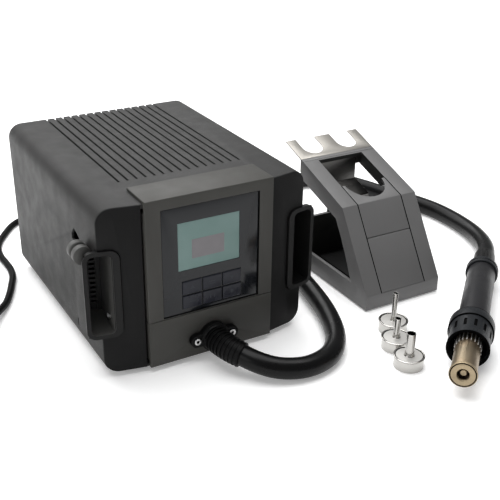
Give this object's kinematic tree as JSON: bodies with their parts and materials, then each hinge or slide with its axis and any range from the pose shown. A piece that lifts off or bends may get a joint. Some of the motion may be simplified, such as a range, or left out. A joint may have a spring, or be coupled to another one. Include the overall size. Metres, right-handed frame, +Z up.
{
  "type": "hot air station",
  "caption": "Blower and control unit with ring handles and a display, a hose-fed hot air handpiece, a bent sheet bench stand with a nozzle comb, loose nozzles and a mains lead.",
  "frame": {"origin": "middle of the whole set in plan, without the hose and the mains lead, on the bench surface", "axes": "+X to the right of the front panel, +Y from the front panel to the rear, +Z up"},
  "size_m": [0.7039, 0.5598, 0.1691],
  "materials": {
    "housing_grey": "fine textured powder coat",
    "panel_olive": "satin metallic paint",
    "black_panel": "satin black",
    "black_plastic": "fine matt",
    "dark_plastic": "satin",
    "display_glass": "clear dark tint",
    "screen": "green backlit",
    "button_plastic": "satin",
    "rubber_black": "matt",
    "hose_rubber": "smooth and slightly glossy",
    "steel_screw": "bright",
    "bright_steel": "polished",
    "heater_steel": "heat-tinted champagne",
    "grip_grey": "satin dark grey",
    "ceramic": "unglazed ceramic",
    "stand_grey": "fine textured powder coat",
    "board_green": "solder mask",
    "copper_iron": "varnished laminations",
    "fan_plastic": "moulded",
    "red_plastic": "moulded"
  },
  "bodies": {
    "station": {"housing_shell": "housing_grey", "base_tray": "black_panel", "front_wing_left": "black_panel", "front_wing_right": "black_panel", "handle_left": "dark_plastic", "handle_right": "dark_plastic", "handle_screws": "steel_screw", "upper_panel": "panel_olive", "lower_panel": "panel_olive", "display_window": "display_glass", "lcd_module": "screen", "display_board": "board_green", "hose_flange": "black_plastic", "flange_screws": "steel_screw", "cable_hook": "dark_plastic", "rear_panel": "black_panel", "air_filter_grille": "black_plastic", "rear_screws": "steel_screw", "switch_body": "black_plastic", "fuse_holder": "black_plastic", "station_feet": "rubber_black", "blower_housing": "dark_plastic", "blower_motor": "bright_steel", "air_duct": "dark_plastic", "transformer": "copper_iron", "control_board": "board_green", "hose_relief": "rubber_black", "air_hose": "hose_rubber", "cord_gland": "rubber_black", "mains_cord": "hose_rubber", "cord_coil": "hose_rubber", "mains_plug": "black_plastic"},
    "handpiece": {"outlet_disc": "heater_steel", "heater_tube": "heater_steel", "heater_core": "ceramic", "front_collar": "dark_plastic", "grip_tube": "grip_grey", "rear_collar": "dark_plastic", "grip_boot": "rubber_black"},
    "stand": {"stand_frame": "stand_grey", "stand_cradle": "stand_grey", "stand_guard": "bright_steel", "stand_front": "stand_grey", "stand_base": "black_panel", "nozzle_comb": "bright_steel", "stand_screws": "steel_screw", "stand_feet": "rubber_black"},
    "nozzle_a": {"nozzle_slim": "bright_steel"},
    "nozzle_b": {"nozzle_medium": "bright_steel"},
    "nozzle_c": {"nozzle_wide": "bright_steel"},
    "rocker": {"power_rocker": "red_plastic"},
    "impeller": {"blower_impeller": "fan_plastic"},
    "key_1": {"button_1": "button_plastic"},
    "key_2": {"button_2": "button_plastic"},
    "key_3": {"button_3": "button_plastic"},
    "key_4": {"button_4": "button_plastic"},
    "key_5": {"button_5": "button_plastic"},
    "key_6": {"button_6": "button_plastic"}
  },
  "joints": [
    {"name": "button_1_press", "type": "slide", "parent": "station", "child": "key_1", "axis": [0, 1, 0], "range_m": [0, 0.001], "stiffness_N_per_m": 800, "springref_m": -0.0006},
    {"name": "button_2_press", "type": "slide", "parent": "station", "child": "key_2", "axis": [0, 1, 0], "range_m": [0, 0.001], "stiffness_N_per_m": 800, "springref_m": -0.0006},
    {"name": "button_3_press", "type": "slide", "parent": "station", "child": "key_3", "axis": [0, 1, 0], "range_m": [0, 0.001], "stiffness_N_per_m": 800, "springref_m": -0.0006},
    {"name": "button_4_press", "type": "slide", "parent": "station", "child": "key_4", "axis": [0, 1, 0], "range_m": [0, 0.001], "stiffness_N_per_m": 800, "springref_m": -0.0006},
    {"name": "button_5_press", "type": "slide", "parent": "station", "child": "key_5", "axis": [0, 1, 0], "range_m": [0, 0.001], "stiffness_N_per_m": 800, "springref_m": -0.0006},
    {"name": "button_6_press", "type": "slide", "parent": "station", "child": "key_6", "axis": [0, 1, 0], "range_m": [0, 0.001], "stiffness_N_per_m": 800, "springref_m": -0.0006},
    {"name": "rocker_tilt", "type": "hinge", "parent": "station", "child": "rocker", "pos_m": [-0.18665, 0.2094, 0.04], "axis": [1, 0, 0], "range_deg": [-14, 0]},
    {"name": "impeller_spin", "type": "hinge", "parent": "station", "child": "impeller", "pos_m": [-0.10065, 0.1548, 0.092], "axis": [0, 1, 0], "continuous": true},
    {"name": "handpiece_lift", "type": "slide", "parent": "station", "child": "handpiece", "axis": [0, 0, 1], "range_m": [0, 0.18], "deforming": ["air_hose"]},
    {"name": "stand_lift", "type": "slide", "parent": "station", "child": "stand", "axis": [0, 0, 1], "range_m": [0, 0.18]},
    {"name": "nozzle_slim_lift", "type": "slide", "parent": "station", "child": "nozzle_a", "axis": [0, 0, 1], "range_m": [0, 0.06]},
    {"name": "nozzle_medium_lift", "type": "slide", "parent": "station", "child": "nozzle_b", "axis": [0, 0, 1], "range_m": [0, 0.06]},
    {"name": "nozzle_wide_lift", "type": "slide", "parent": "station", "child": "nozzle_c", "axis": [0, 0, 1], "range_m": [0, 0.06]}
  ]
}
